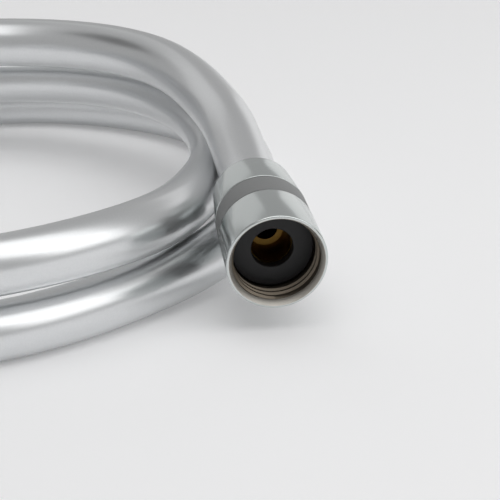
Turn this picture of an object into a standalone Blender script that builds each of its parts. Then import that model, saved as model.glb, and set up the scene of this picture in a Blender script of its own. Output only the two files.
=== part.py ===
"""Shower hose: a smooth 14 mm hose, 1.5 m long, lying in a loose coil, with a swivel nut at each end.

Metres, +Z up. The origin is the middle of the coil's footprint, on the surface that it lies on.
Each fitting is turned about its own +Z axis, which points out of the nut's mouth, with the mouth's
rim at z = 0. Depths below are measured back from that rim, towards the hose.
"""

import math

import bmesh
import bpy
import numpy as np
from mathutils import Matrix, Vector

MM = 0.001

# Clearances between pieces
SEAT_GAP = 0.3 * MM
SWIVEL_GAP = 0.4 * MM

# Hose
HOSE_RADIUS = 7.0 * MM
HOSE_WALL = 2.5 * MM
HOSE_POINT_SPACING = 19.0 * MM
HOSE_BEVEL_RESOLUTION = 4

# Sealing washer, at the bottom of the threaded mouth
WASHER_THICKNESS = 2.5 * MM
WASHER_HOLE_RADIUS = 5.0 * MM
WASHER_EDGE = 0.3 * MM

# Brass insert: flange, collar and barbed tail
FLANGE_RADIUS = 9.0 * MM
FLANGE_THICKNESS = 3.0 * MM
INSERT_BORE_RADIUS = 4.3 * MM
INSERT_WALL = 0.8 * MM
INSERT_EDGE = 0.2 * MM
COLLAR_INSET = 0.6 * MM
COLLAR_REACH = 2.7 * MM
BARB_COUNT = 3
BARB_LENGTH = 3.4 * MM
BARB_HEIGHT = 0.4 * MM

# Glide ring between the flange and the nut's shoulder
GLIDE_THICKNESS = 1.2 * MM

# Crimped ferrule on the hose end
FERRULE_WALL = 0.7 * MM
FERRULE_LENGTH = 9.5 * MM
FERRULE_CRIMPS = 3
CRIMP_DEPTH = 0.3 * MM
CRIMP_WIDTH = 0.8 * MM

# Swivel nut, bored for a G 1/2 thread
THREAD_RADIUS = 10.48 * MM
NUT_WALL = 1.57 * MM
NUT_RIM_ROUND = 0.4 * MM
NUT_FLARE = 0.9 * MM
NUT_FLARE_DEPTH = 2.2 * MM
BARREL_LENGTH = 15.3 * MM
SHOULDER_INSET = 0.2 * MM
SHOULDER_THICKNESS = 2.6 * MM
SPIGOT_WALL = 1.2 * MM
SPIGOT_REACH = 4.1 * MM
NUT_EDGE = 0.4 * MM

# Grip band and tail cone behind it
BAND_WIDTH = 7.6 * MM
BAND_THICKNESS = 1.7 * MM
BAND_TAPER = 0.2 * MM
BAND_STEP = 0.1 * MM
BAND_EDGE = 0.25 * MM
TAIL_LENGTH = 14.1 * MM
TAIL_FRONT_WALL = 1.5 * MM
TAIL_RIM_WALL = 1.7 * MM
TAIL_RIM_ROUND = 1.2 * MM

# Facets of the turned pieces
OUTER_STEPS = 36
INNER_STEPS = 24
ARC_STEPS = 4

# Where the fittings lie: the middle of each mouth's rim, its tilt down and its turn about +Z
NEAR_MOUTH = (87.05 * MM, -91.4 * MM)
NEAR_TILT = math.radians(8.0)
NEAR_LIFT = 6.0 * MM
FAR_MOUTH = (-93.0 * MM, -49.0 * MM)

# The coil: (angle in degrees, radius, height of the centre line), from the top turn to the floor,
# and the route points outside it, up from the near nut and out to the far nut, in route units
ROUTE_UNIT = 1.0 * MM
COIL_CENTRE = (0.1 * MM, -2.3 * MM)
COIL = (
    (61, 77.5, 34.5),
    (91, 69.5, 34.0),
    (126, 66.0, 33.0),
    (171, 66.5, 28.0),
    (216, 74.0, 22.5),
    (246, 90.0, 20.5),
    (276, 98.0, 22.5),
    (306, 93.5, 23.0),
    (336, 82.3, 18.2),
    (366, 86.2, 17.0),
    (396, 92.2, 20.3),
    (426, 89.3, 19.7),
    (456, 79.4, 19.4),
    (486, 75.5, 20.5),
    (531, 75.2, 13.0),
    (576, 81.0, 7.5),
    (606, 95.0, 7.0),
    (636, 98.5, 7.0),
    (666, 91.8, 7.0),
    (696, 92.2, 7.0),
    (726, 97.0, 7.0),
    (756, 112.5, 7.0),
    (786, 111.5, 7.0),
    (816, 94.0, 7.0),
    (846, 86.5, 7.0),
)
NEAR_RISE = ((86.0, -19.5, 30.5), (84.35, 0.5, 31.5), (72.75, 38.0, 34.5))
FAR_RUN = ((-75.6, 44.0, 7.0), (-89.0, 16.0, 8.0))

# Sizes that follow from the ones above: radii
HOSE_BORE = HOSE_RADIUS - HOSE_WALL
FERRULE_BORE = HOSE_RADIUS + SEAT_GAP
FERRULE_RADIUS = FERRULE_BORE + FERRULE_WALL
TAIL_BORE = FERRULE_RADIUS + SWIVEL_GAP
SPIGOT_RADIUS = TAIL_BORE + SPIGOT_WALL
BAND_BORE = SPIGOT_RADIUS + SEAT_GAP
BAND_RADIUS = BAND_BORE + BAND_THICKNESS
BARREL_BACK_RADIUS = BAND_RADIUS + BAND_STEP
TAIL_FRONT_RADIUS = BAND_BORE + TAIL_FRONT_WALL
TAIL_RIM_RADIUS = TAIL_BORE + TAIL_RIM_WALL
NUT_RADIUS = THREAD_RADIUS + NUT_WALL
WASHER_RADIUS = THREAD_RADIUS - 2 * SEAT_GAP
COLLAR_RADIUS = HOSE_RADIUS - COLLAR_INSET
SHOULDER_BORE = COLLAR_RADIUS + SEAT_GAP
FLANGE_BORE = FLANGE_RADIUS + SWIVEL_GAP
BARB_RADIUS = HOSE_BORE - SWIVEL_GAP
STEM_RADIUS = BARB_RADIUS - BARB_HEIGHT
STEM_BORE = STEM_RADIUS - INSERT_WALL

# Depths from the rim of the mouth: what the shoulder carries is stacked on it, towards the rim
SHOULDER_DEPTH = BARREL_LENGTH - SHOULDER_INSET
SHOULDER_BACK = SHOULDER_DEPTH + SHOULDER_THICKNESS
GLIDE_BACK = SHOULDER_DEPTH - SEAT_GAP
GLIDE_DEPTH = GLIDE_BACK - GLIDE_THICKNESS
FLANGE_BACK = GLIDE_DEPTH - SEAT_GAP
FLANGE_DEPTH = FLANGE_BACK - FLANGE_THICKNESS
WASHER_BACK = FLANGE_DEPTH - SEAT_GAP
WASHER_DEPTH = WASHER_BACK - WASHER_THICKNESS
COLLAR_BACK = SHOULDER_BACK + COLLAR_REACH
HOSE_END_DEPTH = COLLAR_BACK + SEAT_GAP
INSERT_TIP = COLLAR_BACK + BARB_COUNT * BARB_LENGTH
BAND_DEPTH = BARREL_LENGTH + SEAT_GAP
BAND_BACK = BAND_DEPTH + BAND_WIDTH
SPIGOT_BACK = BAND_BACK + SPIGOT_REACH
TAIL_DEPTH = BAND_BACK + SEAT_GAP
TAIL_BACK = TAIL_DEPTH + TAIL_LENGTH

# Heights of the two mouths: the near nut is held up by the hose, the far one lies on the floor
NEAR_HEIGHT = NUT_RADIUS * math.cos(NEAR_TILT) + NEAR_LIFT
FAR_HEIGHT = NUT_RADIUS


def clear_scene():
    """Remove every object, so that the script gives the same result each run."""
    for old in list(bpy.data.objects):
        bpy.data.objects.remove(old, do_unlink=True)


def make_material(name, colour, roughness, metallic):
    """Return a Principled material of one colour."""
    material = bpy.data.materials.new(name)
    material.use_nodes = True
    shader = material.node_tree.nodes["Principled BSDF"]
    shader.inputs["Base Color"].default_value = (*colour, 1.0)
    shader.inputs["Roughness"].default_value = roughness
    shader.inputs["Metallic"].default_value = metallic
    return material


def arc(radius, depth, size, start, end):
    """Points (radius, depth) of a quarter round about its centre, angles in degrees."""
    points = []
    for step in range(ARC_STEPS + 1):
        angle = math.radians(start + (end - start) * step / ARC_STEPS)
        points.append((radius + size * math.cos(angle), depth - size * math.sin(angle)))
    return points


def make_turned(name, profile, steps, holder, material, collection):
    """Turn a closed outline of (radius, depth) points about the fitting's axis.

    The outline starts at the mouth side and runs down its outer side first.
    """
    mesh = bpy.data.meshes.new(name)
    outline = bmesh.new()
    corners = [outline.verts.new((radius, 0.0, -depth)) for radius, depth in profile]
    for index, corner in enumerate(corners):
        outline.edges.new((corner, corners[(index + 1) % len(corners)]))
    outline.to_mesh(mesh)
    outline.free()
    turned = bpy.data.objects.new(name, mesh)
    screw = turned.modifiers.new("Turn", "SCREW")
    screw.axis = "Z"
    screw.angle = math.tau
    screw.steps = steps
    screw.render_steps = steps
    screw.use_merge_vertices = True
    screw.merge_threshold = 0.00001
    screw.use_smooth_shade = True
    turned.data.materials.append(material)
    turned.parent = holder
    collection.objects.link(turned)
    return turned


def nut_profile():
    """Barrel with a flared mouth, bore for the thread, inner shoulder, and the spigot behind."""
    return [
        (THREAD_RADIUS + NUT_FLARE, 0.0),
        *arc(NUT_RADIUS - NUT_RIM_ROUND, NUT_RIM_ROUND, NUT_RIM_ROUND, 90, 0),
        (BARREL_BACK_RADIUS, BARREL_LENGTH - NUT_EDGE),
        (BARREL_BACK_RADIUS - NUT_EDGE, BARREL_LENGTH),
        (SPIGOT_RADIUS, BARREL_LENGTH),
        (SPIGOT_RADIUS, SPIGOT_BACK - NUT_EDGE),
        (SPIGOT_RADIUS - NUT_EDGE, SPIGOT_BACK),
        (TAIL_BORE, SPIGOT_BACK),
        (TAIL_BORE, SHOULDER_BACK),
        (SHOULDER_BORE, SHOULDER_BACK),
        (SHOULDER_BORE, SHOULDER_DEPTH),
        (FLANGE_BORE, SHOULDER_DEPTH),
        (FLANGE_BORE, FLANGE_DEPTH + SEAT_GAP),
        (THREAD_RADIUS, FLANGE_DEPTH + SEAT_GAP),
        (THREAD_RADIUS, NUT_FLARE_DEPTH),
    ]


def band_profile():
    """Grip band, a plain ring that tapers a little towards the hose."""
    return [
        (BAND_BORE, BAND_DEPTH),
        (BAND_RADIUS - BAND_EDGE, BAND_DEPTH),
        (BAND_RADIUS, BAND_DEPTH + BAND_EDGE),
        (BAND_RADIUS - BAND_TAPER, BAND_BACK - BAND_EDGE),
        (BAND_RADIUS - BAND_TAPER - BAND_EDGE, BAND_BACK),
        (BAND_BORE, BAND_BACK),
    ]


def tail_profile():
    """Tail cone: a counterbore that seats on the spigot, a taper and a rounded back rim."""
    return [
        (BAND_BORE, TAIL_DEPTH),
        (TAIL_FRONT_RADIUS - BAND_EDGE, TAIL_DEPTH),
        (TAIL_FRONT_RADIUS, TAIL_DEPTH + BAND_EDGE),
        *arc(TAIL_RIM_RADIUS - TAIL_RIM_ROUND, TAIL_BACK - TAIL_RIM_ROUND, TAIL_RIM_ROUND, 0, -90),
        (TAIL_BORE, TAIL_BACK),
        (TAIL_BORE, SPIGOT_BACK + SEAT_GAP),
        (BAND_BORE, SPIGOT_BACK + SEAT_GAP),
    ]


def washer_profile():
    """Flat sealing washer with softened edges."""
    return [
        (WASHER_HOLE_RADIUS + WASHER_EDGE, WASHER_DEPTH),
        (WASHER_RADIUS - WASHER_EDGE, WASHER_DEPTH),
        (WASHER_RADIUS, WASHER_DEPTH + WASHER_EDGE),
        (WASHER_RADIUS, WASHER_BACK - WASHER_EDGE),
        (WASHER_RADIUS - WASHER_EDGE, WASHER_BACK),
        (WASHER_HOLE_RADIUS + WASHER_EDGE, WASHER_BACK),
        (WASHER_HOLE_RADIUS, WASHER_BACK - WASHER_EDGE),
        (WASHER_HOLE_RADIUS, WASHER_DEPTH + WASHER_EDGE),
    ]


def insert_profile():
    """Brass insert: flange, collar that the nut turns on, barbed tail, and a stepped bore."""
    outer = [
        (INSERT_BORE_RADIUS, FLANGE_DEPTH),
        (FLANGE_RADIUS - INSERT_EDGE, FLANGE_DEPTH),
        (FLANGE_RADIUS, FLANGE_DEPTH + INSERT_EDGE),
        (FLANGE_RADIUS, FLANGE_BACK),
        (COLLAR_RADIUS, FLANGE_BACK),
        (COLLAR_RADIUS, COLLAR_BACK - INSERT_EDGE),
        (COLLAR_RADIUS - INSERT_EDGE, COLLAR_BACK),
        (STEM_RADIUS, COLLAR_BACK),
    ]
    for barb in range(BARB_COUNT):
        step = COLLAR_BACK + (barb + 0.3) * BARB_LENGTH
        outer.append((STEM_RADIUS, step))
        outer.append((BARB_RADIUS, step + INSERT_EDGE))
        outer.append((STEM_RADIUS, COLLAR_BACK + (barb + 1) * BARB_LENGTH - INSERT_EDGE))
    bore_step = COLLAR_BACK - COLLAR_REACH
    return outer + [
        (STEM_RADIUS - INSERT_EDGE, INSERT_TIP),
        (STEM_BORE, INSERT_TIP),
        (STEM_BORE, COLLAR_BACK - INSERT_EDGE),
        (INSERT_BORE_RADIUS, bore_step),
    ]


def glide_profile():
    """Flat glide ring that the flange runs on."""
    return [
        (SHOULDER_BORE, GLIDE_DEPTH),
        (FLANGE_RADIUS, GLIDE_DEPTH),
        (FLANGE_RADIUS, GLIDE_BACK),
        (SHOULDER_BORE, GLIDE_BACK),
    ]


def ferrule_profile():
    """Thin sleeve on the hose end, with rings pressed into it."""
    front = HOSE_END_DEPTH
    back = front + FERRULE_LENGTH
    outer = [(FERRULE_BORE, front), (FERRULE_RADIUS, front)]
    for crimp in range(FERRULE_CRIMPS):
        middle = front + FERRULE_LENGTH * (crimp + 1) / (FERRULE_CRIMPS + 1)
        outer.append((FERRULE_RADIUS, middle - CRIMP_WIDTH))
        outer.append((FERRULE_RADIUS - CRIMP_DEPTH, middle - CRIMP_WIDTH / 2))
        outer.append((FERRULE_RADIUS - CRIMP_DEPTH, middle + CRIMP_WIDTH / 2))
        outer.append((FERRULE_RADIUS, middle + CRIMP_WIDTH))
    return outer + [(FERRULE_RADIUS, back), (FERRULE_BORE, back)]


def make_holder(name, mouth, height, tilt, collection):
    """Empty in the middle of a mouth's rim, its +Z axis pointing out of the mouth along -Y."""
    holder = bpy.data.objects.new(name, None)
    holder.location = (*mouth, height)
    holder.rotation_euler = (math.pi / 2 + tilt, 0.0, 0.0)
    collection.objects.link(holder)
    return holder


def make_fitting(side, holder, materials, collection):
    """All pieces of one end, each turned about the holder's axis."""
    pieces = (
        ("nut", nut_profile(), OUTER_STEPS, "chrome"),
        ("band", band_profile(), OUTER_STEPS, "grey plastic"),
        ("tail", tail_profile(), OUTER_STEPS, "chrome"),
        ("washer", washer_profile(), OUTER_STEPS, "rubber"),
        ("insert", insert_profile(), INNER_STEPS, "brass"),
        ("glide_ring", glide_profile(), INNER_STEPS, "white plastic"),
        ("ferrule", ferrule_profile(), INNER_STEPS, "steel"),
    )
    for piece, profile, steps, finish in pieces:
        make_turned(f"{side}_{piece}", profile, steps, holder, materials[finish], collection)


def axis_points(mouth, height, tilt, depths):
    """Points on a fitting's axis at the given depths behind its mouth."""
    turn = Matrix.Rotation(math.pi / 2 + tilt, 3, "X")
    rim = Vector((*mouth, height))
    return [rim + turn @ Vector((0.0, 0.0, -depth)) for depth in depths]


def route_points():
    """The hose's own route points, from the near fitting round the coil to the far fitting."""
    straight = (HOSE_END_DEPTH, (HOSE_END_DEPTH + TAIL_BACK) / 2, TAIL_BACK + SEAT_GAP)
    route = axis_points(NEAR_MOUTH, NEAR_HEIGHT, NEAR_TILT, straight)
    route += [Vector(point) * ROUTE_UNIT for point in NEAR_RISE]
    for angle, radius, height in COIL:
        turn = math.radians(angle)
        route.append(
            Vector(
                (
                    COIL_CENTRE[0] + radius * ROUTE_UNIT * math.cos(turn),
                    COIL_CENTRE[1] + radius * ROUTE_UNIT * math.sin(turn),
                    height * ROUTE_UNIT,
                )
            )
        )
    route += [Vector(point) * ROUTE_UNIT for point in FAR_RUN]
    route += reversed(axis_points(FAR_MOUTH, FAR_HEIGHT, 0.0, straight))
    return np.array(route)


def smooth_curve(route, spacing):
    """Read evenly spaced points from the natural cubic spline through the route's points."""
    chord = np.linalg.norm(np.diff(route, axis=0), axis=1)
    knots = np.concatenate(([0.0], np.cumsum(chord)))
    count = len(route)
    system = np.eye(count)
    right = np.zeros((count, 3))
    slope = np.diff(route, axis=0) / chord[:, None]
    for i in range(1, count - 1):
        system[i, i - 1 : i + 2] = (chord[i - 1], 2 * (chord[i - 1] + chord[i]), chord[i])
        right[i] = 6 * (slope[i] - slope[i - 1])
    bend = np.linalg.solve(system, right)
    stations = np.linspace(0.0, knots[-1], round(knots[-1] / spacing) + 1)
    points = []
    for station in stations:
        i = min(np.searchsorted(knots, station, side="right") - 1, count - 2)
        step = chord[i]
        before = knots[i + 1] - station
        after = station - knots[i]
        point = (bend[i] * before**3 + bend[i + 1] * after**3) / (6 * step)
        point += (route[i] / step - bend[i] * step / 6) * before
        point += (route[i + 1] / step - bend[i + 1] * step / 6) * after
        points.append(point)
    return points


def make_hose(material, collection):
    """The hose: a tube along its route, resting on the floor, with a bore all the way."""
    curve = bpy.data.curves.new("hose", "CURVE")
    curve.dimensions = "3D"
    curve.bevel_depth = HOSE_RADIUS
    curve.bevel_resolution = HOSE_BEVEL_RESOLUTION
    points = smooth_curve(route_points(), HOSE_POINT_SPACING)
    spline = curve.splines.new("POLY")
    spline.points.add(len(points) - 1)
    for knot, (x, y, z) in zip(spline.points, points):
        knot.co = (x, y, max(z, HOSE_RADIUS), 1.0)
    spline.use_smooth = True
    hose = bpy.data.objects.new("hose", curve)
    shell = hose.modifiers.new("Wall", "SOLIDIFY")
    shell.thickness = HOSE_WALL
    shell.offset = -1.0
    curve.materials.append(material)
    collection.objects.link(hose)
    return hose


def main():
    """Build the hose and both fittings."""
    clear_scene()
    collection = bpy.data.collections.new("shower_hose")
    bpy.context.scene.collection.children.link(collection)
    materials = {
        "hose": make_material("silver hose jacket", (0.66, 0.68, 0.69), 0.25, 0.6),
        "chrome": make_material("satin chrome", (0.72, 0.74, 0.73), 0.22, 1.0),
        "grey plastic": make_material("grey plastic", (0.16, 0.16, 0.17), 0.5, 0.0),
        "rubber": make_material("black rubber", (0.012, 0.012, 0.014), 0.65, 0.0),
        "brass": make_material("brass", (0.62, 0.45, 0.18), 0.3, 1.0),
        "white plastic": make_material("white plastic", (0.75, 0.75, 0.73), 0.4, 0.0),
        "steel": make_material("steel", (0.55, 0.55, 0.56), 0.3, 1.0),
    }
    make_hose(materials["hose"], collection)
    near = make_holder("near_swivel_axis", NEAR_MOUTH, NEAR_HEIGHT, NEAR_TILT, collection)
    make_fitting("near", near, materials, collection)
    far = make_holder("far_swivel_axis", FAR_MOUTH, FAR_HEIGHT, 0.0, collection)
    make_fitting("far", far, materials, collection)


main()
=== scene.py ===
"""Looks of a 1.5 m shower hose that lies in a loose coil, with a chromed swivel nut at each end.

Lengths are in metres in the row's frame. Depths on a fitting are measured back from the rim of its
mouth, along its axis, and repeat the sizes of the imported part.
"""

import logging
import math
from dataclasses import dataclass
from enum import Enum
from typing import Any, Sequence

import bmesh
import bpy
import numpy as np
from mathutils import Matrix, Vector

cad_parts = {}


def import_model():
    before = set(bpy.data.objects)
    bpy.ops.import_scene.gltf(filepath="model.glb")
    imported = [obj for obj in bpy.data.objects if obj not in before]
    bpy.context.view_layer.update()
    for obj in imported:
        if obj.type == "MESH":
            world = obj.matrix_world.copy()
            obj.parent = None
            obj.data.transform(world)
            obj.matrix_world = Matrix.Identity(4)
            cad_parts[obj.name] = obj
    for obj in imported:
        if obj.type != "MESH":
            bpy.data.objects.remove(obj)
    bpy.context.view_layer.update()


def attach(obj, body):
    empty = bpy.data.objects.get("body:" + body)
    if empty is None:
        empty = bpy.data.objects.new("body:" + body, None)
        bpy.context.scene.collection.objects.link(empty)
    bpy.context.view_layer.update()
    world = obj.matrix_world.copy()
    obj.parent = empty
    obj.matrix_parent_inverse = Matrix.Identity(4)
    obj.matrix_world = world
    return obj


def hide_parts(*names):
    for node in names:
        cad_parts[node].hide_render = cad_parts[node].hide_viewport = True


MM = 0.001
LOG = logging.getLogger("shower_hose")

# Where the fittings lie: X and Y of each mouth, how far the near one points down, and how high the
# lowest point of its rim hangs above the floor
NEAR_MOUTH = (87.05 * MM, -91.4 * MM)
NEAR_TILT = math.radians(8.0)
NEAR_LIFT = 6.0 * MM
FAR_MOUTH = (-93.0 * MM, -49.0 * MM)

# Inside a nut: radius below which the wall and its thread get painted shade in dark brown, and
# radius below which the mouth is satin; for each the middle depth and half the reach; and the
# satin's roughness
PAINTED_SHADE_INSIDE = 10.56 * MM
PAINTED_SHADE_DEPTHS = (6.2 * MM, 4.5 * MM)
SATIN_INSIDE = 11.45 * MM
SATIN_DEPTHS = (5.2 * MM, 5.5 * MM)
SATIN_ROUGHNESS = 0.5

Place = tuple[float, float, float]
Profile = list[tuple[float, float]]


def linear(hex_colour: str) -> tuple[float, float, float, float]:
    """Turn an sRGB hex colour into a linear one.

    Args:
        hex_colour: Six hex digits after a #.

    Returns:
        Linear red, green, blue and an alpha of one.
    """
    channels = []
    # The sRGB curve: a straight part near black, and a power above it
    for start in (1, 3, 5):
        value = int(hex_colour[start : start + 2], 16) / 255
        channels.append(value / 12.92 if value <= 0.04045 else ((value + 0.055) / 1.055) ** 2.4)
    return (*channels, 1.0)


WHITE = linear("#ffffff")


def add_node(
    tree: bpy.types.NodeTree,
    kind: str,
    settings: dict[str, Any] | None = None,
    values: dict[str | int, Any] | None = None,
    links: dict[str | int, bpy.types.NodeSocket] | None = None,
) -> bpy.types.Node:
    """Add one node with its settings, socket values and links.

    Args:
        tree: Node tree that takes the node.
        kind: Blender's type name of the node.
        settings: Properties of the node itself.
        values: Values of its input sockets.
        links: Output sockets that feed its inputs.

    Returns:
        The new node.
    """
    node = tree.nodes.new(kind)
    for name, value in (settings or {}).items():
        setattr(node, name, value)
    for name, value in (values or {}).items():
        node.inputs[name].default_value = value
    for name, socket in (links or {}).items():
        tree.links.new(socket, node.inputs[name])
    return node


class Surface(Enum):
    """Names of the finishes, one for each material slot of the part."""

    JACKET = "hose_jacket"
    CHROME = "chrome"
    GRIP_BAND = "grip_band"
    WASHER = "washer"
    BRASS = "brass"
    GLIDE_RING = "glide_ring"
    FERRULE = "ferrule"


@dataclass(frozen=True)
class Finish:
    """One procedural finish: a base, fine colour grain, and bump from the same pattern.

    Attributes:
        name: Name of the material and of how it was made.
        base: sRGB hex colour.
        shade: sRGB hex colour that the grain moves towards.
        metallic: Metallic value.
        roughness: Lowest roughness.
        roughness_spread: How much the grain adds to the roughness.
        grain: Size of the grain in metres.
        detail: Octaves of the grain.
        fineness: How strongly the finer octaves show.
        bump: Height of the grain in metres.
        coat: Weight of a clear layer.
        coat_roughness: Roughness of that layer.
        turned: Whether the grain runs in rings about a fitting's axis.
        bore: sRGB hex colour of the painted shade on the wall and thread inside a threaded bore.
        lip: sRGB hex colour of the satin metal round the mouth of such a bore.
    """

    name: str
    base: str
    shade: str
    metallic: float = 0.0
    roughness: float = 0.4
    roughness_spread: float = 0.05
    grain: float = 0.6 * MM
    detail: float = 3.0
    fineness: float = 0.55
    bump: float = 0.0
    coat: float = 0.0
    coat_roughness: float = 0.03
    turned: bool = False
    bore: str = ""
    lip: str = ""

    def material(self, holder: "Holder | None" = None) -> bpy.types.Material:
        """Build the material.

        Args:
            holder: Fitting whose axis the turning marks follow, where there are any.

        Returns:
            The finished material.
        """
        suffix = f" {holder.side}" if holder and self.turned else ""
        made = bpy.data.materials.new(self.name + suffix)
        made.use_nodes = True
        tree = made.node_tree
        shader = tree.nodes["Principled BSDF"]
        place = add_node(tree, "ShaderNodeTexCoord").outputs["Object"]
        if self.turned and holder:
            place = holder.ring_coordinates(tree, place)
        noise = add_node(
            tree,
            "ShaderNodeTexNoise",
            values={
                "Scale": 1.0 / self.grain,
                "Detail": self.detail,
                "Roughness": self.fineness,
            },
            links={"Vector": place},
        )
        grain = noise.outputs["Fac"]
        colour = add_node(
            tree,
            "ShaderNodeMix",
            {"data_type": "RGBA"},
            {6: linear(self.base), 7: linear(self.shade)},
            {0: grain},
        ).outputs[2]
        rough = add_node(
            tree,
            "ShaderNodeMapRange",
            values={"To Min": self.roughness, "To Max": self.roughness + self.roughness_spread},
            links={"Value": grain},
        ).outputs["Result"]
        if self.bore:
            colour, rough = self.bore_shade_and_satin(tree, place, colour, rough)
        tree.links.new(colour, shader.inputs["Base Color"])
        tree.links.new(rough, shader.inputs["Roughness"])
        if self.bump:
            bump = add_node(
                tree,
                "ShaderNodeBump",
                values={"Strength": 1.0, "Distance": self.bump},
                links={"Height": grain},
            )
            tree.links.new(bump.outputs["Normal"], shader.inputs["Normal"])
        shader.inputs["Metallic"].default_value = self.metallic
        shader.inputs["Coat Weight"].default_value = self.coat
        shader.inputs["Coat Roughness"].default_value = self.coat_roughness
        return made

    def bore_shade_and_satin(
        self,
        tree: bpy.types.NodeTree,
        ring: bpy.types.NodeSocket,
        colour: bpy.types.NodeSocket,
        rough: bpy.types.NodeSocket,
    ) -> tuple[bpy.types.NodeSocket, bpy.types.NodeSocket]:
        """Paint shade in dark brown on the wall and thread of a nut's bore, and make the whole
        mouth satin.

        Args:
            tree: Node tree of the material.
            ring: Vector socket of (radius, 0, minus the depth).
            colour: Colour of the plate.
            rough: Roughness of the plate.

        Returns:
            Colour and roughness over plate, painted shade and satin mouth.
        """
        split = add_node(tree, "ShaderNodeSeparateXYZ", links={0: ring})
        masks = []
        for inside, (middle, half) in ((PAINTED_SHADE_INSIDE, PAINTED_SHADE_DEPTHS), (SATIN_INSIDE, SATIN_DEPTHS)):
            near_axis = add_node(
                tree,
                "ShaderNodeMath",
                {"operation": "LESS_THAN"},
                {1: inside},
                {0: split.outputs["X"]},
            )
            in_reach = add_node(
                tree,
                "ShaderNodeMath",
                {"operation": "COMPARE"},
                {1: -middle, 2: half},
                {0: split.outputs["Z"]},
            )
            masks.append(
                add_node(
                    tree,
                    "ShaderNodeMath",
                    {"operation": "MULTIPLY"},
                    links={0: near_axis.outputs["Value"], 1: in_reach.outputs["Value"]},
                ).outputs["Value"]
            )
        # The bore's colour is painted shade: the wall and thread deep in the mouth are coloured
        # dark brown
        for mask, tone in ((masks[1], self.lip), (masks[0], self.bore)):
            colour = add_node(
                tree,
                "ShaderNodeMix",
                {"data_type": "RGBA"},
                {7: linear(tone)},
                {0: mask, 6: colour},
            ).outputs[2]
        rougher = add_node(
            tree,
            "ShaderNodeMix",
            {"data_type": "FLOAT"},
            {3: SATIN_ROUGHNESS},
            {0: masks[1], 2: rough},
        )
        return colour, rougher.outputs[0]


FINISHES = {
    # Foil under a clear skin: reflections stay, but soft, with wide highlights. The real foil's
    # grain is finer than a pixel, so it is drawn 0.5 mm wide, which only mottles the gloss
    Surface.JACKET: Finish(
        "silver foil under clear PVC, extruded",
        "#e7e8e9",
        "#dddfe0",
        metallic=1.0,
        roughness=0.27,
        roughness_spread=0.07,
        grain=0.5 * MM,
        bump=0.004 * MM,
        coat=0.2,
        coat_roughness=0.12,
    ),
    # Soft mirror with a green tinge, and turning marks drawn 0.35 mm wide, coarser than real. The
    # mouth is satin, and inside the bore the wall and thread are painted dark brown as painted
    # shade
    Surface.CHROME: Finish(
        "satin chrome plate on turned brass",
        "#d3d7d6",
        "#cacfce",
        metallic=1.0,
        roughness=0.16,
        roughness_spread=0.06,
        grain=0.35 * MM,
        turned=True,
        bore="#7f766a",
        lip="#d2cec7",
    ),
    # Plain matt grey without reflections, which a spark texture with 0.12 mm grit keeps even
    Surface.GRIP_BAND: Finish(
        "grey ABS, moulded with a fine spark texture",
        "#878888",
        "#7e7f7f",
        roughness=0.5,
        grain=0.12 * MM,
        bump=0.01 * MM,
    ),
    # Nearly black, with only a weak sheen and the slight mottle of a moulded face
    Surface.WASHER: Finish(
        "black nitrile rubber, moulded",
        "#131315",
        "#101012",
        roughness=0.55,
        grain=0.3 * MM,
        bump=0.006 * MM,
    ),
    # Yellow-brown metal with tool marks 0.3 mm wide, darker deep in the bore for want of light
    Surface.BRASS: Finish(
        "brass, turned and left bare",
        "#876c3a",
        "#775d2d",
        metallic=1.0,
        roughness=0.3,
        grain=0.3 * MM,
        turned=True,
    ),
    # Slippery milk-white plastic
    Surface.GLIDE_RING: Finish(
        "white acetal, moulded",
        "#dedcd4",
        "#d4d2ca",
        roughness=0.35,
        grain=0.4 * MM,
    ),
    # Grey drawn metal whose pressed rings catch the light
    Surface.FERRULE: Finish(
        "stainless steel, drawn and crimped",
        "#b9b9ba",
        "#acacae",
        metallic=1.0,
        roughness=0.22,
        grain=0.3 * MM,
        turned=True,
    ),
}


@dataclass(frozen=True)
class Holder:
    """Where a fitting lies: the middle of its mouth's rim, and the tilt of its axis.

    Attributes:
        side: Name of the end, near or far.
        body: CAD body that the swivel nut rides on.
        mouth: Middle of the mouth's rim.
        tilt: Angle that the mouth points down from -Y, in radians.
    """

    side: str
    body: str
    mouth: Place
    tilt: float

    def matrix(self) -> Matrix:
        """Return the matrix from the fitting's own frame, +Z out of the mouth, to the row's."""
        turn = Matrix.Rotation(math.pi / 2 + self.tilt, 4, "X")
        return Matrix.Translation(Vector(self.mouth)) @ turn

    def on_axis(self, depth: float) -> Vector:
        """Return the point on the axis at that depth behind the mouth."""
        return self.matrix() @ Vector((0.0, 0.0, -depth))

    def ring_coordinates(
        self, tree: bpy.types.NodeTree, place: bpy.types.NodeSocket
    ) -> bpy.types.NodeSocket:
        """Turn Object coordinates into radius and depth, so that marks run round the axis.

        Args:
            tree: Node tree of the material.
            place: Object coordinates.

        Returns:
            A vector socket of (radius, 0, minus the depth).
        """
        inverse = self.matrix().inverted()
        own = add_node(
            tree,
            "ShaderNodeMapping",
            {"vector_type": "POINT"},
            {"Location": inverse.to_translation(), "Rotation": inverse.to_euler()},
            {"Vector": place},
        )
        flat = add_node(
            tree,
            "ShaderNodeVectorMath",
            {"operation": "MULTIPLY"},
            {1: (1.0, 1.0, 0.0)},
            {0: own.outputs["Vector"]},
        )
        radius = add_node(
            tree,
            "ShaderNodeVectorMath",
            {"operation": "LENGTH"},
            links={0: flat.outputs["Vector"]},
        )
        split = add_node(tree, "ShaderNodeSeparateXYZ", links={0: own.outputs["Vector"]})
        joined = add_node(
            tree,
            "ShaderNodeCombineXYZ",
            links={"X": radius.outputs["Value"], "Z": split.outputs["Z"]},
        )
        return joined.outputs["Vector"]


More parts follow.
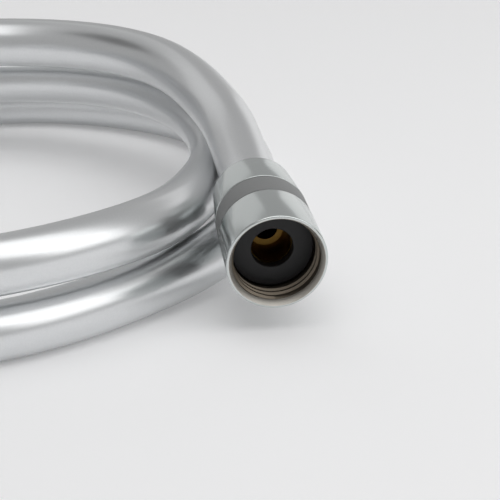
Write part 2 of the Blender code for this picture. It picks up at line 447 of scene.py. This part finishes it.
@dataclass
class HoseLine:
    """The hose itself: one smooth tube along its route, from fitting to fitting.

    Attributes:
        radius: Outer radius of the jacket.
        wall: Thickness of the tube, inner tube and jacket together.
        end_depth: Depth of the hose's end face behind each mouth.
        straight: Depth at which the hose leaves the tail cone.
        coil_centre: Middle of the coil.
        coil: Angle in degrees, radius and height in millimetres, from the top turn to the floor.
        near_rise: Points from the near fitting up to the coil, in millimetres.
        far_run: Points from the coil out to the far fitting, in millimetres.
        spacing: Distance between the points of the finished curve.
        section_steps: How finely the hose's round section is cut.
        tail_gap: How far the route's middle point on a fitting stays inside the tail cone's end.
    """

    radius: float = 7.0 * MM
    wall: float = 2.5 * MM
    end_depth: float = 20.7 * MM
    straight: float = 37.9 * MM
    coil_centre: tuple[float, float] = (0.1 * MM, -2.3 * MM)
    coil: tuple[tuple[float, float, float], ...] = (
        (61, 77.5, 34.5),
        (91, 69.5, 34.0),
        (126, 66.0, 33.0),
        (171, 66.5, 28.0),
        (216, 74.0, 22.5),
        (246, 90.0, 20.5),
        (276, 98.0, 22.5),
        (306, 93.5, 23.0),
        (336, 82.3, 18.2),
        (366, 86.2, 17.0),
        (396, 92.2, 20.3),
        (426, 89.3, 19.7),
        (456, 79.4, 19.4),
        (486, 75.5, 20.5),
        (531, 75.2, 13.0),
        (576, 81.0, 7.5),
        (606, 95.0, 7.0),
        (636, 98.5, 7.0),
        (666, 91.8, 7.0),
        (696, 92.2, 7.0),
        (726, 97.0, 7.0),
        (756, 112.5, 7.0),
        (786, 111.5, 7.0),
        (816, 94.0, 7.0),
        (846, 86.5, 7.0),
    )
    near_rise: tuple[tuple[float, float, float], ...] = (
        (86.0, -19.5, 30.5),
        (84.35, 0.5, 31.5),
        (72.75, 38.0, 34.5),
    )
    far_run: tuple[tuple[float, float, float], ...] = ((-75.6, 44.0, 7.0), (-89.0, 16.0, 8.0))
    spacing: float = 4.0 * MM
    section_steps: int = 10
    tail_gap: float = 0.3 * MM

    def route(self, near: Holder, far: Holder) -> np.ndarray:
        """List the route's own points, from the near fitting to the far one.

        Args:
            near: The near fitting.
            far: The far fitting.

        Returns:
            One row for each point.
        """
        middle = (self.end_depth + self.straight - self.tail_gap) / 2
        depths = (self.end_depth, middle, self.straight)
        points = [near.on_axis(depth) for depth in depths]
        points += [Vector(point) * MM for point in self.near_rise]
        for angle, radius, height in self.coil:
            turn = math.radians(angle)
            across = self.coil_centre[0] + radius * MM * math.cos(turn)
            along = self.coil_centre[1] + radius * MM * math.sin(turn)
            points.append(Vector((across, along, height * MM)))
        points += [Vector(point) * MM for point in self.far_run]
        points += [far.on_axis(depth) for depth in reversed(depths)]
        return np.array(points)

    def centre_line(self, near: Holder, far: Holder) -> np.ndarray:
        """Read evenly spaced points from the natural cubic spline through the route.

        Args:
            near: The near fitting.
            far: The far fitting.

        Returns:
            Points of the centre line, none of them below the radius above the floor.
        """
        route = self.route(near, far)
        chord = np.linalg.norm(np.diff(route, axis=0), axis=1)
        knots = np.concatenate(([0.0], np.cumsum(chord)))
        count = len(route)
        # The spline is natural: it doesn't bend at its ends, and its slope runs on at every knot
        system = np.eye(count)
        right = np.zeros((count, 3))
        slope = np.diff(route, axis=0) / chord[:, None]
        for i in range(1, count - 1):
            system[i, i - 1 : i + 2] = (chord[i - 1], 2 * (chord[i - 1] + chord[i]), chord[i])
            right[i] = 6 * (slope[i] - slope[i - 1])
        bend = np.linalg.solve(system, right)
        stations = np.linspace(0.0, knots[-1], round(knots[-1] / self.spacing) + 1)
        span = np.clip(np.searchsorted(knots, stations, side="right") - 1, 0, count - 2)
        step = chord[span][:, None]
        before = (knots[span + 1] - stations)[:, None]
        after = (stations - knots[span])[:, None]
        line = (bend[span] * before**3 + bend[span + 1] * after**3) / (6 * step)
        line += (route[span] / step - bend[span] * step / 6) * before
        line += (route[span + 1] / step - bend[span + 1] * step / 6) * after
        line[:, 2] = np.maximum(line[:, 2], self.radius)
        return line

    def build(self, near: Holder, far: Holder) -> bpy.types.Object:
        """Make the hose as one open curve with a round section.

        Args:
            near: The near fitting.
            far: The far fitting.

        Returns:
            The hose.
        """
        line = self.centre_line(near, far)
        curve = bpy.data.curves.new("hose_jacket", "CURVE")
        curve.dimensions = "3D"
        curve.bevel_depth = self.radius
        curve.bevel_resolution = self.section_steps
        spline = curve.splines.new("POLY")
        spline.points.add(len(line) - 1)
        for knot, point in zip(spline.points, line):
            knot.co = (*point, 1.0)
        spline.use_smooth = True
        hose = bpy.data.objects.new("hose_jacket", curve)
        tube = hose.modifiers.new("Wall", "SOLIDIFY")
        tube.thickness = self.wall
        tube.offset = -1.0
        bpy.context.scene.collection.objects.link(hose)
        length = float(np.linalg.norm(np.diff(line, axis=0), axis=1).sum())
        LOG.info("hose: %.3f m along its centre line, %d points", length, len(line))
        curve.materials.append(FINISHES[Surface.JACKET].material())
        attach(hose, "hose_line")
        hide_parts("hose")
        return hose


@dataclass
class Turned:
    """Round pieces about one fitting's axis. Their outlines are (radius, depth) in millimetres.

    Attributes:
        holder: Where the fitting lies.
        steps: How many flats go round the axis.
        sharp_above: Angle in degrees above which an edge is shaded sharp.
        weld: Distance below which corners are one.
    """

    holder: Holder
    steps: int = 128
    sharp_above: float = 35.0
    weld: float = 0.001

    def turn(self, name: str, profile: Profile, surface: Surface, body: str) -> bpy.types.Object:
        """Spin a closed outline about the axis.

        Args:
            name: Name of the piece, without its side.
            profile: Outline, from the mouth side down the outer side and back up inside.
            surface: Finish of the piece.
            body: CAD body that it rides on.

        Returns:
            The piece, in place.
        """
        shape = bmesh.new()
        outline = [shape.verts.new((radius, 0.0, -depth)) for radius, depth in profile]
        for pair in zip(outline, outline[1:] + outline[:1]):
            shape.edges.new(pair)
        bmesh.ops.spin(
            shape,
            geom=shape.verts[:] + shape.edges[:],
            cent=(0.0, 0.0, 0.0),
            axis=(0.0, 0.0, 1.0),
            dvec=(0.0, 0.0, 0.0),
            angle=math.tau,
            steps=self.steps,
            use_merge=True,
            use_duplicate=False,
        )
        bmesh.ops.remove_doubles(shape, verts=shape.verts[:], dist=self.weld)
        return self.finish(name, shape, surface, body)

    def finish(
        self, name: str, shape: bmesh.types.BMesh, surface: Surface, body: str
    ) -> bpy.types.Object:
        """Turn a bmesh in the fitting's frame into a placed, dressed and riding piece.

        Args:
            name: Name of the piece, without its side.
            shape: The bmesh, in millimetres. It is freed.
            surface: Finish of the piece.
            body: CAD body that it rides on.

        Returns:
            The piece, in place.
        """
        bmesh.ops.recalc_face_normals(shape, faces=shape.faces[:])
        bmesh.ops.scale(shape, vec=(MM, MM, MM), verts=shape.verts[:])
        bmesh.ops.transform(shape, matrix=self.holder.matrix(), verts=shape.verts[:])
        full_name = f"{self.holder.side}_{name}"
        mesh = bpy.data.meshes.new(full_name)
        shape.to_mesh(mesh)
        shape.free()
        mesh.shade_smooth()
        mesh.set_sharp_from_angle(angle=math.radians(self.sharp_above))
        piece = bpy.data.objects.new(full_name, mesh)
        bpy.context.scene.collection.objects.link(piece)
        mesh.materials.append(FINISHES[surface].material(self.holder))
        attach(piece, body)
        LOG.info("%s: %d faces", full_name, len(mesh.polygons))
        return piece

    @staticmethod
    def corner(
        radius: float, depth: float, size: float, start: float, end: float, count: int = 4
    ) -> Profile:
        """Round a corner of an outline by an arc.

        Args:
            radius: Radius of the arc's centre.
            depth: Depth of the arc's centre.
            size: Radius of the arc itself.
            start: Angle of its first point in degrees, 0 away from the axis and 90 to the mouth.
            end: Angle of its last point.
            count: How many flats it has.

        Returns:
            The arc's points.
        """
        points = []
        for step in range(count + 1):
            angle = math.radians(start + (end - start) * step / count)
            points.append((radius + size * math.cos(angle), depth - size * math.sin(angle)))
        return points


@dataclass
class SwivelNut(Turned):
    """What turns at one end: barrel, thread, grip band, tail cone and washer.

    Radii and depths are in millimetres, and depths are measured back from the mouth's rim. A pair
    is a front and a back depth. The thread's ridge is a share of its pitch wide at root and crest,
    starts thread_sunk inside the wall, and rises over thread_run_out turns at either end.
    """

    # Barrel and its flared mouth
    nut_radius: float = 12.05
    thread_radius: float = 10.48
    flare: float = 0.9
    flare_depth: float = 2.2
    flare_sweep: float = 1.7
    flare_steps: int = 8
    rim_round: float = 0.4
    rim_steps: int = 6
    barrel_back: float = 15.3
    barrel_back_radius: float = 11.7
    barrel_edge: float = 0.3
    # Room for the insert's flange, the shoulder, and the spigot that the tail cone sits on
    flange_bore: float = 9.4
    flange_seat: float = 10.6
    shoulder: tuple[float, float] = (15.1, 17.7)
    shoulder_bore: float = 6.7
    spigot_radius: float = 9.6
    spigot_back: float = 27.3
    tail_bore: float = 8.4
    seat_gap: float = 0.3
    # Grip band
    band_bore: float = 9.9
    band_radius: float = 11.6
    band_taper: float = 0.2
    band: tuple[float, float] = (15.6, 23.2)
    band_edge: float = 0.2
    # Tail cone
    tail: tuple[float, float] = (23.5, 37.6)
    tail_front_radius: float = 11.4
    tail_rim_radius: float = 10.1
    tail_rim_round: float = 1.2
    tail_rim_steps: int = 8
    # Washer
    washer: tuple[float, float] = (7.5, 10.0)
    washer_radius: float = 9.88
    washer_hole: float = 5.0
    washer_edge: float = 0.3
    # Thread
    pitch: float = 1.814
    crest_radius: float = 10.0
    thread_turns: float = 2.9
    thread_depth: float = 7.6
    thread_sunk: float = 0.05
    thread_root_share: float = 0.46
    thread_crest_share: float = 0.16
    thread_run_out: float = 0.2
    thread_least: float = 0.05
    steps_per_turn: int = 96

    def make_barrel(self) -> bpy.types.Object:
        """Barrel with a flared mouth, a bore for the thread, the shoulder and the spigot.

        Returns:
            The barrel.
        """
        top, rim, edge = self.nut_radius, self.rim_round, self.barrel_edge
        front, back = self.shoulder
        profile = [
            (self.thread_radius + self.flare, 0.0),
            *self.corner(top - rim, rim, rim, 90, 0, self.rim_steps),
            *self.corner(self.barrel_back_radius - edge, self.barrel_back - edge, edge, 0, -90),
            (self.spigot_radius, self.barrel_back),
            (self.spigot_radius, self.spigot_back),
            (self.tail_bore, self.spigot_back),
            (self.tail_bore, back),
            (self.shoulder_bore, back),
            (self.shoulder_bore, front),
            (self.flange_bore, front),
            (self.flange_bore, self.flange_seat),
            (self.thread_radius, self.flange_seat),
            *self.flare_curve(),
        ]
        return self.turn("nut_barrel", profile, Surface.CHROME, self.holder.body)

    def flare_curve(self) -> Profile:
        """Curve the mouth from the bore out to the rim, so that it opens fastest at the rim.

        Returns:
            The flare's points, without the last one on the rim.
        """
        points = []
        for step in range(self.flare_steps):
            out = step / self.flare_steps
            radius = self.thread_radius + self.flare * out**self.flare_sweep
            points.append((radius, self.flare_depth * (1 - out)))
        return points

    def make_band(self) -> bpy.types.Object:
        """Bare grip band between the barrel and the tail cone.

        Returns:
            The band.
        """
        front, back = self.band
        edge = self.band_edge
        profile = [
            (self.band_bore, front),
            *self.corner(self.band_radius - edge, front + edge, edge, 90, 0),
            *self.corner(self.band_radius - self.band_taper - edge, back - edge, edge, 0, -90),
            (self.band_bore, back),
        ]
        return self.turn("grip_band", profile, Surface.GRIP_BAND, self.holder.body)

    def make_tail(self) -> bpy.types.Object:
        """Tail cone with a rounded back rim, seated on the spigot.

        Returns:
            The tail cone.
        """
        front, back = self.tail
        edge, rim = self.band_edge, self.tail_rim_round
        profile = [
            (self.band_bore, front),
            *self.corner(self.tail_front_radius - edge, front + edge, edge, 90, 0),
            *self.corner(
                self.tail_rim_radius - rim, back - rim, rim, 0, -90, self.tail_rim_steps
            ),
            (self.tail_bore, back),
            (self.tail_bore, self.spigot_back + self.seat_gap),
            (self.band_bore, self.spigot_back + self.seat_gap),
        ]
        return self.turn("tail_cone", profile, Surface.CHROME, self.holder.body)

    def make_washer(self) -> bpy.types.Object:
        """Flat sealing washer with soft edges.

        Returns:
            The washer.
        """
        edge = self.washer_edge
        outer, hole = self.washer_radius - edge, self.washer_hole + edge
        front, back = self.washer[0] + edge, self.washer[1] - edge
        profile = [
            *self.corner(outer, front, edge, 90, 0),
            *self.corner(outer, back, edge, 0, -90),
            *self.corner(hole, back, edge, 270, 180),
            *self.corner(hole, front, edge, 180, 90),
        ]
        return self.turn("rubber_washer", profile, Surface.WASHER, self.holder.body)

    def make_thread(self) -> bpy.types.Object:
        """Internal thread: one ridge that winds up the bore and runs out at both ends.

        Returns:
            The ridge.
        """
        root = self.thread_radius + self.thread_sunk
        half_root = self.thread_root_share * self.pitch
        half_crest = self.thread_crest_share * self.pitch
        outline = (
            (root, -half_root),
            (self.crest_radius, -half_crest),
            (self.crest_radius, half_crest),
            (root, half_root),
        )
        shape = bmesh.new()
        section = [shape.verts.new((radius, 0.0, up - self.thread_depth)) for radius, up in outline]
        edges = [shape.edges.new(pair) for pair in zip(section, section[1:] + section[:1])]
        end = shape.faces.new(section)
        bmesh.ops.spin(
            shape,
            geom=section + edges + [end],
            cent=(0.0, 0.0, 0.0),
            axis=(0.0, 0.0, 1.0),
            dvec=(0.0, 0.0, self.pitch / self.steps_per_turn),
            angle=math.tau * self.thread_turns,
            steps=round(self.thread_turns * self.steps_per_turn),
            use_merge=False,
            use_duplicate=False,
        )
        # Near either end, the ridge sinks into the wall. A corner's height gives its whole turns
        for corner in shape.verts:
            radius = math.hypot(corner.co.x, corner.co.y)
            share = math.atan2(corner.co.y, corner.co.x) % math.tau / math.tau
            along = share + round((corner.co.z + self.thread_depth) / self.pitch - share)
            left = min(along, self.thread_turns - along) / self.thread_run_out
            depth = min(max(left, self.thread_least), 1.0) * (root - radius)
            corner.co.x *= (root - depth) / radius
            corner.co.y *= (root - depth) / radius
        return self.finish("nut_thread", shape, Surface.CHROME, self.holder.body)

    def build(self) -> list[bpy.types.Object]:
        """Make the pieces and hide the CAD nodes that the barrel, band, tail and washer take the
        place of.

        Returns:
            The pieces.
        """
        made = {
            "nut": self.make_barrel(),
            "band": self.make_band(),
            "tail": self.make_tail(),
            "washer": self.make_washer(),
        }
        for node, piece in made.items():
            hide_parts(f"{self.holder.side}_{node}")
        return [*made.values(), self.make_thread()]


@dataclass
class HoseEnd(Turned):
    """What is fixed on the hose's end: barbed insert, glide ring and crimped ferrule.

    Radii and depths are in millimetres, and depths are measured back from the mouth's rim. A pair
    is a front and a back depth, but the countersink's is its radius and its depth.
    """

    body: str = "hose_line"
    edge: float = 0.2
    # Insert: flange and collar, bore, and the barbed stem
    flange: tuple[float, float] = (10.3, 13.3)
    flange_radius: float = 9.0
    collar_radius: float = 6.4
    collar_back: float = 20.4
    step_depth: float = 17.7
    countersink: tuple[float, float] = (4.9, 11.7)
    bore_radius: float = 4.3
    stem_radius: float = 3.7
    stem_bore: float = 2.9
    barb_radius: float = 4.1
    barb_length: float = 3.4
    barb_rise: float = 0.3
    barbs: int = 3
    # Glide ring
    glide: tuple[float, float] = (13.6, 14.8)
    glide_bore: float = 6.7
    # Ferrule
    ferrule: tuple[float, float] = (20.7, 30.2)
    ferrule_bore: float = 7.3
    ferrule_radius: float = 8.0
    crimps: int = 3
    crimp_depth: float = 0.3
    crimp_width: float = 0.8

    def make_insert(self) -> bpy.types.Object:
        """Brass insert with its flange, collar, barbs and stepped bore.

        Returns:
            The insert.
        """
        front, back = self.flange
        tip = self.collar_back + self.barbs * self.barb_length
        profile = [
            (self.bore_radius, self.countersink[1]),
            (self.countersink[0], front),
            (self.flange_radius - self.edge, front),
            (self.flange_radius, front + self.edge),
            (self.flange_radius, back),
            (self.collar_radius, back),
            (self.collar_radius, self.collar_back - self.edge),
            (self.collar_radius - self.edge, self.collar_back),
            (self.stem_radius, self.collar_back),
        ]
        for barb in range(self.barbs):
            start = self.collar_back + self.barb_length * barb
            step = start + self.barb_rise * self.barb_length
            profile.append((self.stem_radius, step))
            profile.append((self.barb_radius, step + self.edge))
            profile.append((self.stem_radius, start + self.barb_length - self.edge))
        profile += [
            (self.stem_radius - self.edge, tip),
            (self.stem_bore, tip),
            (self.stem_bore, self.step_depth + self.edge),
            (self.bore_radius, self.step_depth),
        ]
        return self.turn("brass_insert", profile, Surface.BRASS, self.body)

    def make_glide_ring(self) -> bpy.types.Object:
        """Glide ring behind the insert's flange.

        Returns:
            The glide ring.
        """
        front, back = self.glide
        profile = [
            (self.glide_bore, front),
            (self.flange_radius, front),
            (self.flange_radius, back),
            (self.glide_bore, back),
        ]
        return self.turn("acetal_ring", profile, Surface.GLIDE_RING, self.body)

    def make_ferrule(self) -> bpy.types.Object:
        """Ferrule on the hose end, with rings pressed into it.

        Returns:
            The ferrule.
        """
        front, back = self.ferrule
        top, low = self.ferrule_radius, self.ferrule_radius - self.crimp_depth
        profile = [(self.ferrule_bore, front), (top, front)]
        for crimp in range(self.crimps):
            middle = front + (back - front) * (crimp + 1) / (self.crimps + 1)
            profile += [
                (top, middle - self.crimp_width),
                (low, middle - self.crimp_width / 2),
                (low, middle + self.crimp_width / 2),
                (top, middle + self.crimp_width),
            ]
        profile += [(top, back), (self.ferrule_bore, back)]
        return self.turn("crimped_ferrule", profile, Surface.FERRULE, self.body)

    def build(self) -> list[bpy.types.Object]:
        """Make the pieces and hide the CAD nodes that they take the place of.

        Returns:
            The pieces.
        """
        made = {
            "insert": self.make_insert(),
            "glide_ring": self.make_glide_ring(),
            "ferrule": self.make_ferrule(),
        }
        for node, piece in made.items():
            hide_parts(f"{self.holder.side}_{node}")
        return list(made.values())


@dataclass(frozen=True)
class Lamp:
    """One rectangular soft lamp.

    Attributes:
        name: Name of the lamp.
        place: Where it hangs.
        size: Its width and height.
        power: Its power in watts.
        turn: Degrees about the vertical of a lamp that shines straight down; None faces the coil.
        in_metal: Whether metal reflects it.
    """

    name: str
    place: Place
    size: tuple[float, float]
    power: float
    turn: float | None = None
    in_metal: bool = True

    def hang(self) -> bpy.types.Object:
        """Make the lamp.

        Returns:
            The lamp.
        """
        data = bpy.data.lights.new(self.name, "AREA")
        data.shape = "RECTANGLE"
        data.size, data.size_y = self.size
        data.energy = self.power
        lamp = bpy.data.objects.new(self.name, data)
        lamp.location = self.place
        if self.turn is None:
            lamp.rotation_euler = (-Vector(self.place)).to_track_quat("-Z", "Y").to_euler()
        else:
            lamp.rotation_euler = (0.0, 0.0, math.radians(self.turn))
        lamp.visible_glossy = self.in_metal
        bpy.context.scene.collection.objects.link(lamp)
        return lamp


@dataclass(frozen=True)
class Flat:
    """A flat rectangle that belongs to the studio.

    Attributes:
        name: Name of the piece.
        size: Its width and height.
    """

    name: str
    size: tuple[float, float]

    def lay(self, matrix: Matrix) -> bpy.types.Object:
        """Make the rectangle.

        Args:
            matrix: Its place, with the rectangle in the XY plane.

        Returns:
            The rectangle.
        """
        shape = bmesh.new()
        # The grid's size is half its side
        bmesh.ops.create_grid(shape, x_segments=1, y_segments=1, size=0.5)
        bmesh.ops.scale(shape, vec=(*self.size, 1.0), verts=shape.verts[:])
        mesh = bpy.data.meshes.new(self.name)
        shape.to_mesh(mesh)
        shape.free()
        piece = bpy.data.objects.new(self.name, mesh)
        piece.matrix_world = matrix
        bpy.context.scene.collection.objects.link(piece)
        return piece


@dataclass(frozen=True)
class Card(Flat):
    """A card that faces the coil for the metal to reflect. The camera doesn't see it.

    Attributes:
        place: Its middle.
        strength: How bright it is, where 1 is white.
    """

    place: Place
    strength: float

    def stand(self) -> bpy.types.Object:
        """Make the card.

        Returns:
            The card.
        """
        centre = Vector(self.place)
        facing = (-centre).to_track_quat("Z", "Y").to_matrix().to_4x4()
        card = self.lay(Matrix.Translation(centre) @ facing)
        paper = bpy.data.materials.new(self.name)
        paper.use_nodes = True
        tree = paper.node_tree
        tree.nodes.remove(tree.nodes["Principled BSDF"])
        glow = add_node(
            tree, "ShaderNodeEmission", values={"Color": WHITE, "Strength": self.strength}
        )
        output = tree.nodes["Material Output"]
        tree.links.new(glow.outputs["Emission"], output.inputs["Surface"])
        card.data.materials.append(paper)
        card.visible_camera = False
        return card


@dataclass
class Studio:
    """Pale floor, soft lamps, cards and the camera at the photograph's angle.

    Attributes:
        eye: Where the camera stands.
        azimuth: Degrees that it looks to the right of +Y.
        elevation: Degrees that it looks down.
        lens: Its focal length in millimetres.
        sensor: Width of its sensor in millimetres.
        room: Strength of the grey room in reflections.
        fill: Strength of the room's light on everything else.
        floor_colour: sRGB hex colour of the floor.
        floor_roughness: Roughness of the floor.
        floor_glow: How much the floor glows for the camera and in reflections.
        floor_side: Length of the floor's sides.
        lamps: What lights the coil.
        cards: What the metal reflects besides the lamps, the floor and the room.
    """

    eye: Place = (11.4 * MM, -543.6 * MM, 181.7 * MM)
    azimuth: float = 8.7
    elevation: float = 19.31
    lens: float = 150.9
    sensor: float = 36.0
    room: float = 0.42
    fill: float = 0.24
    floor_colour: str = "#ebebec"
    floor_roughness: float = 0.8
    floor_glow: float = 0.15
    floor_side: float = 12.0
    lamps: tuple[Lamp, ...] = (
        Lamp("overhead softbox", (0.42, -0.38, 0.95), (1.5, 1.05), 5.0, turn=-20.0),
        Lamp("ceiling fill", (0.0, 0.0, 1.2), (2.2, 2.2), 5.5, in_metal=False),
        Lamp("side softbox", (1.36, -0.65, 0.78), (1.1, 0.8), 3.2),
    )
    cards: tuple[Card, ...] = (
        Card("white card, back left", (0.72, 1.0), (-0.38, 1.35, 0.58), 0.65),
        Card("white card, back right", (0.9, 0.8), (0.95, 1.25, 0.3), 0.85),
        Card("dark flag", (0.5, 0.5), (-0.72, 0.30, 0.80), 0.1),
    )

    def camera(self) -> bpy.types.Object:
        """Stand the camera and make it the scene's.

        Returns:
            The camera.
        """
        data = bpy.data.cameras.new("camera")
        data.lens = self.lens
        data.sensor_width = self.sensor
        data.clip_start = 10 * MM
        camera = bpy.data.objects.new("camera", data)
        camera.location = self.eye
        camera.rotation_euler = (
            math.radians(90 - self.elevation),
            0.0,
            math.radians(-self.azimuth),
        )
        bpy.context.scene.collection.objects.link(camera)
        bpy.context.scene.camera = camera
        return camera

    def floor(self) -> bpy.types.Object:
        """Lay a wide pale floor. It glows a little for the camera and in reflections.

        Returns:
            The floor.
        """
        floor = Flat("floor", (self.floor_side, self.floor_side)).lay(Matrix.Identity(4))
        paper = bpy.data.materials.new("matt white paper")
        paper.use_nodes = True
        tree = paper.node_tree
        shader = tree.nodes["Principled BSDF"]
        shader.inputs["Base Color"].default_value = linear(self.floor_colour)
        shader.inputs["Roughness"].default_value = self.floor_roughness
        path = add_node(tree, "ShaderNodeLightPath")
        seen = path.outputs["Is Camera Ray"]
        for ray in ("Is Glossy Ray", "Is Transmission Ray"):
            seen = add_node(
                tree,
                "ShaderNodeMath",
                {"operation": "MAXIMUM"},
                links={0: seen, 1: path.outputs[ray]},
            ).outputs["Value"]
        glow = add_node(
            tree, "ShaderNodeMath", {"operation": "MULTIPLY"}, {1: self.floor_glow}, {0: seen}
        )
        shader.inputs["Emission Color"].default_value = WHITE
        tree.links.new(glow.outputs["Value"], shader.inputs["Emission Strength"])
        floor.data.materials.append(paper)
        return floor

    def world(self) -> None:
        """Give the room an even light, which metal reflects as a grey room."""
        world = bpy.data.worlds.new("grey room")
        world.use_nodes = True
        tree = world.node_tree
        background = tree.nodes["Background"]
        background.inputs["Color"].default_value = WHITE
        path = add_node(tree, "ShaderNodeLightPath")
        strength = add_node(
            tree,
            "ShaderNodeMix",
            {"data_type": "FLOAT"},
            {2: self.fill, 3: self.room},
            {0: path.outputs["Is Glossy Ray"]},
        )
        tree.links.new(strength.outputs[0], background.inputs["Strength"])
        bpy.context.scene.world = world

    def build(self) -> None:
        """Set up the whole studio, with plain sRGB colours in the picture."""
        self.camera()
        self.floor()
        self.world()
        for lamp in self.lamps:
            lamp.hang()
        for card in self.cards:
            card.stand()
        bpy.context.scene.view_settings.view_transform = "Standard"


def main() -> None:
    """Build the studio, the hose and its two fittings; the hose's length goes to the log."""
    logging.basicConfig(level=logging.INFO, format="%(message)s")
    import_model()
    for old in [o for o in bpy.context.scene.objects if o.type in ("CAMERA", "LIGHT")]:
        bpy.data.objects.remove(old, do_unlink=True)
    nut_radius = SwivelNut.nut_radius * MM
    near_height = nut_radius * math.cos(NEAR_TILT) + NEAR_LIFT
    near = Holder("near", "near_swivel_nut", (*NEAR_MOUTH, near_height), NEAR_TILT)
    far = Holder("far", "far_swivel_nut", (*FAR_MOUTH, nut_radius), 0.0)
    Studio().build()
    line = HoseLine()
    hose = line.build(near, far)
    fittings: list[bpy.types.Object] = []
    for holder in (near, far):
        fittings += SwivelNut(holder).build() + HoseEnd(holder).build()


if __name__ == "__main__":
    main()
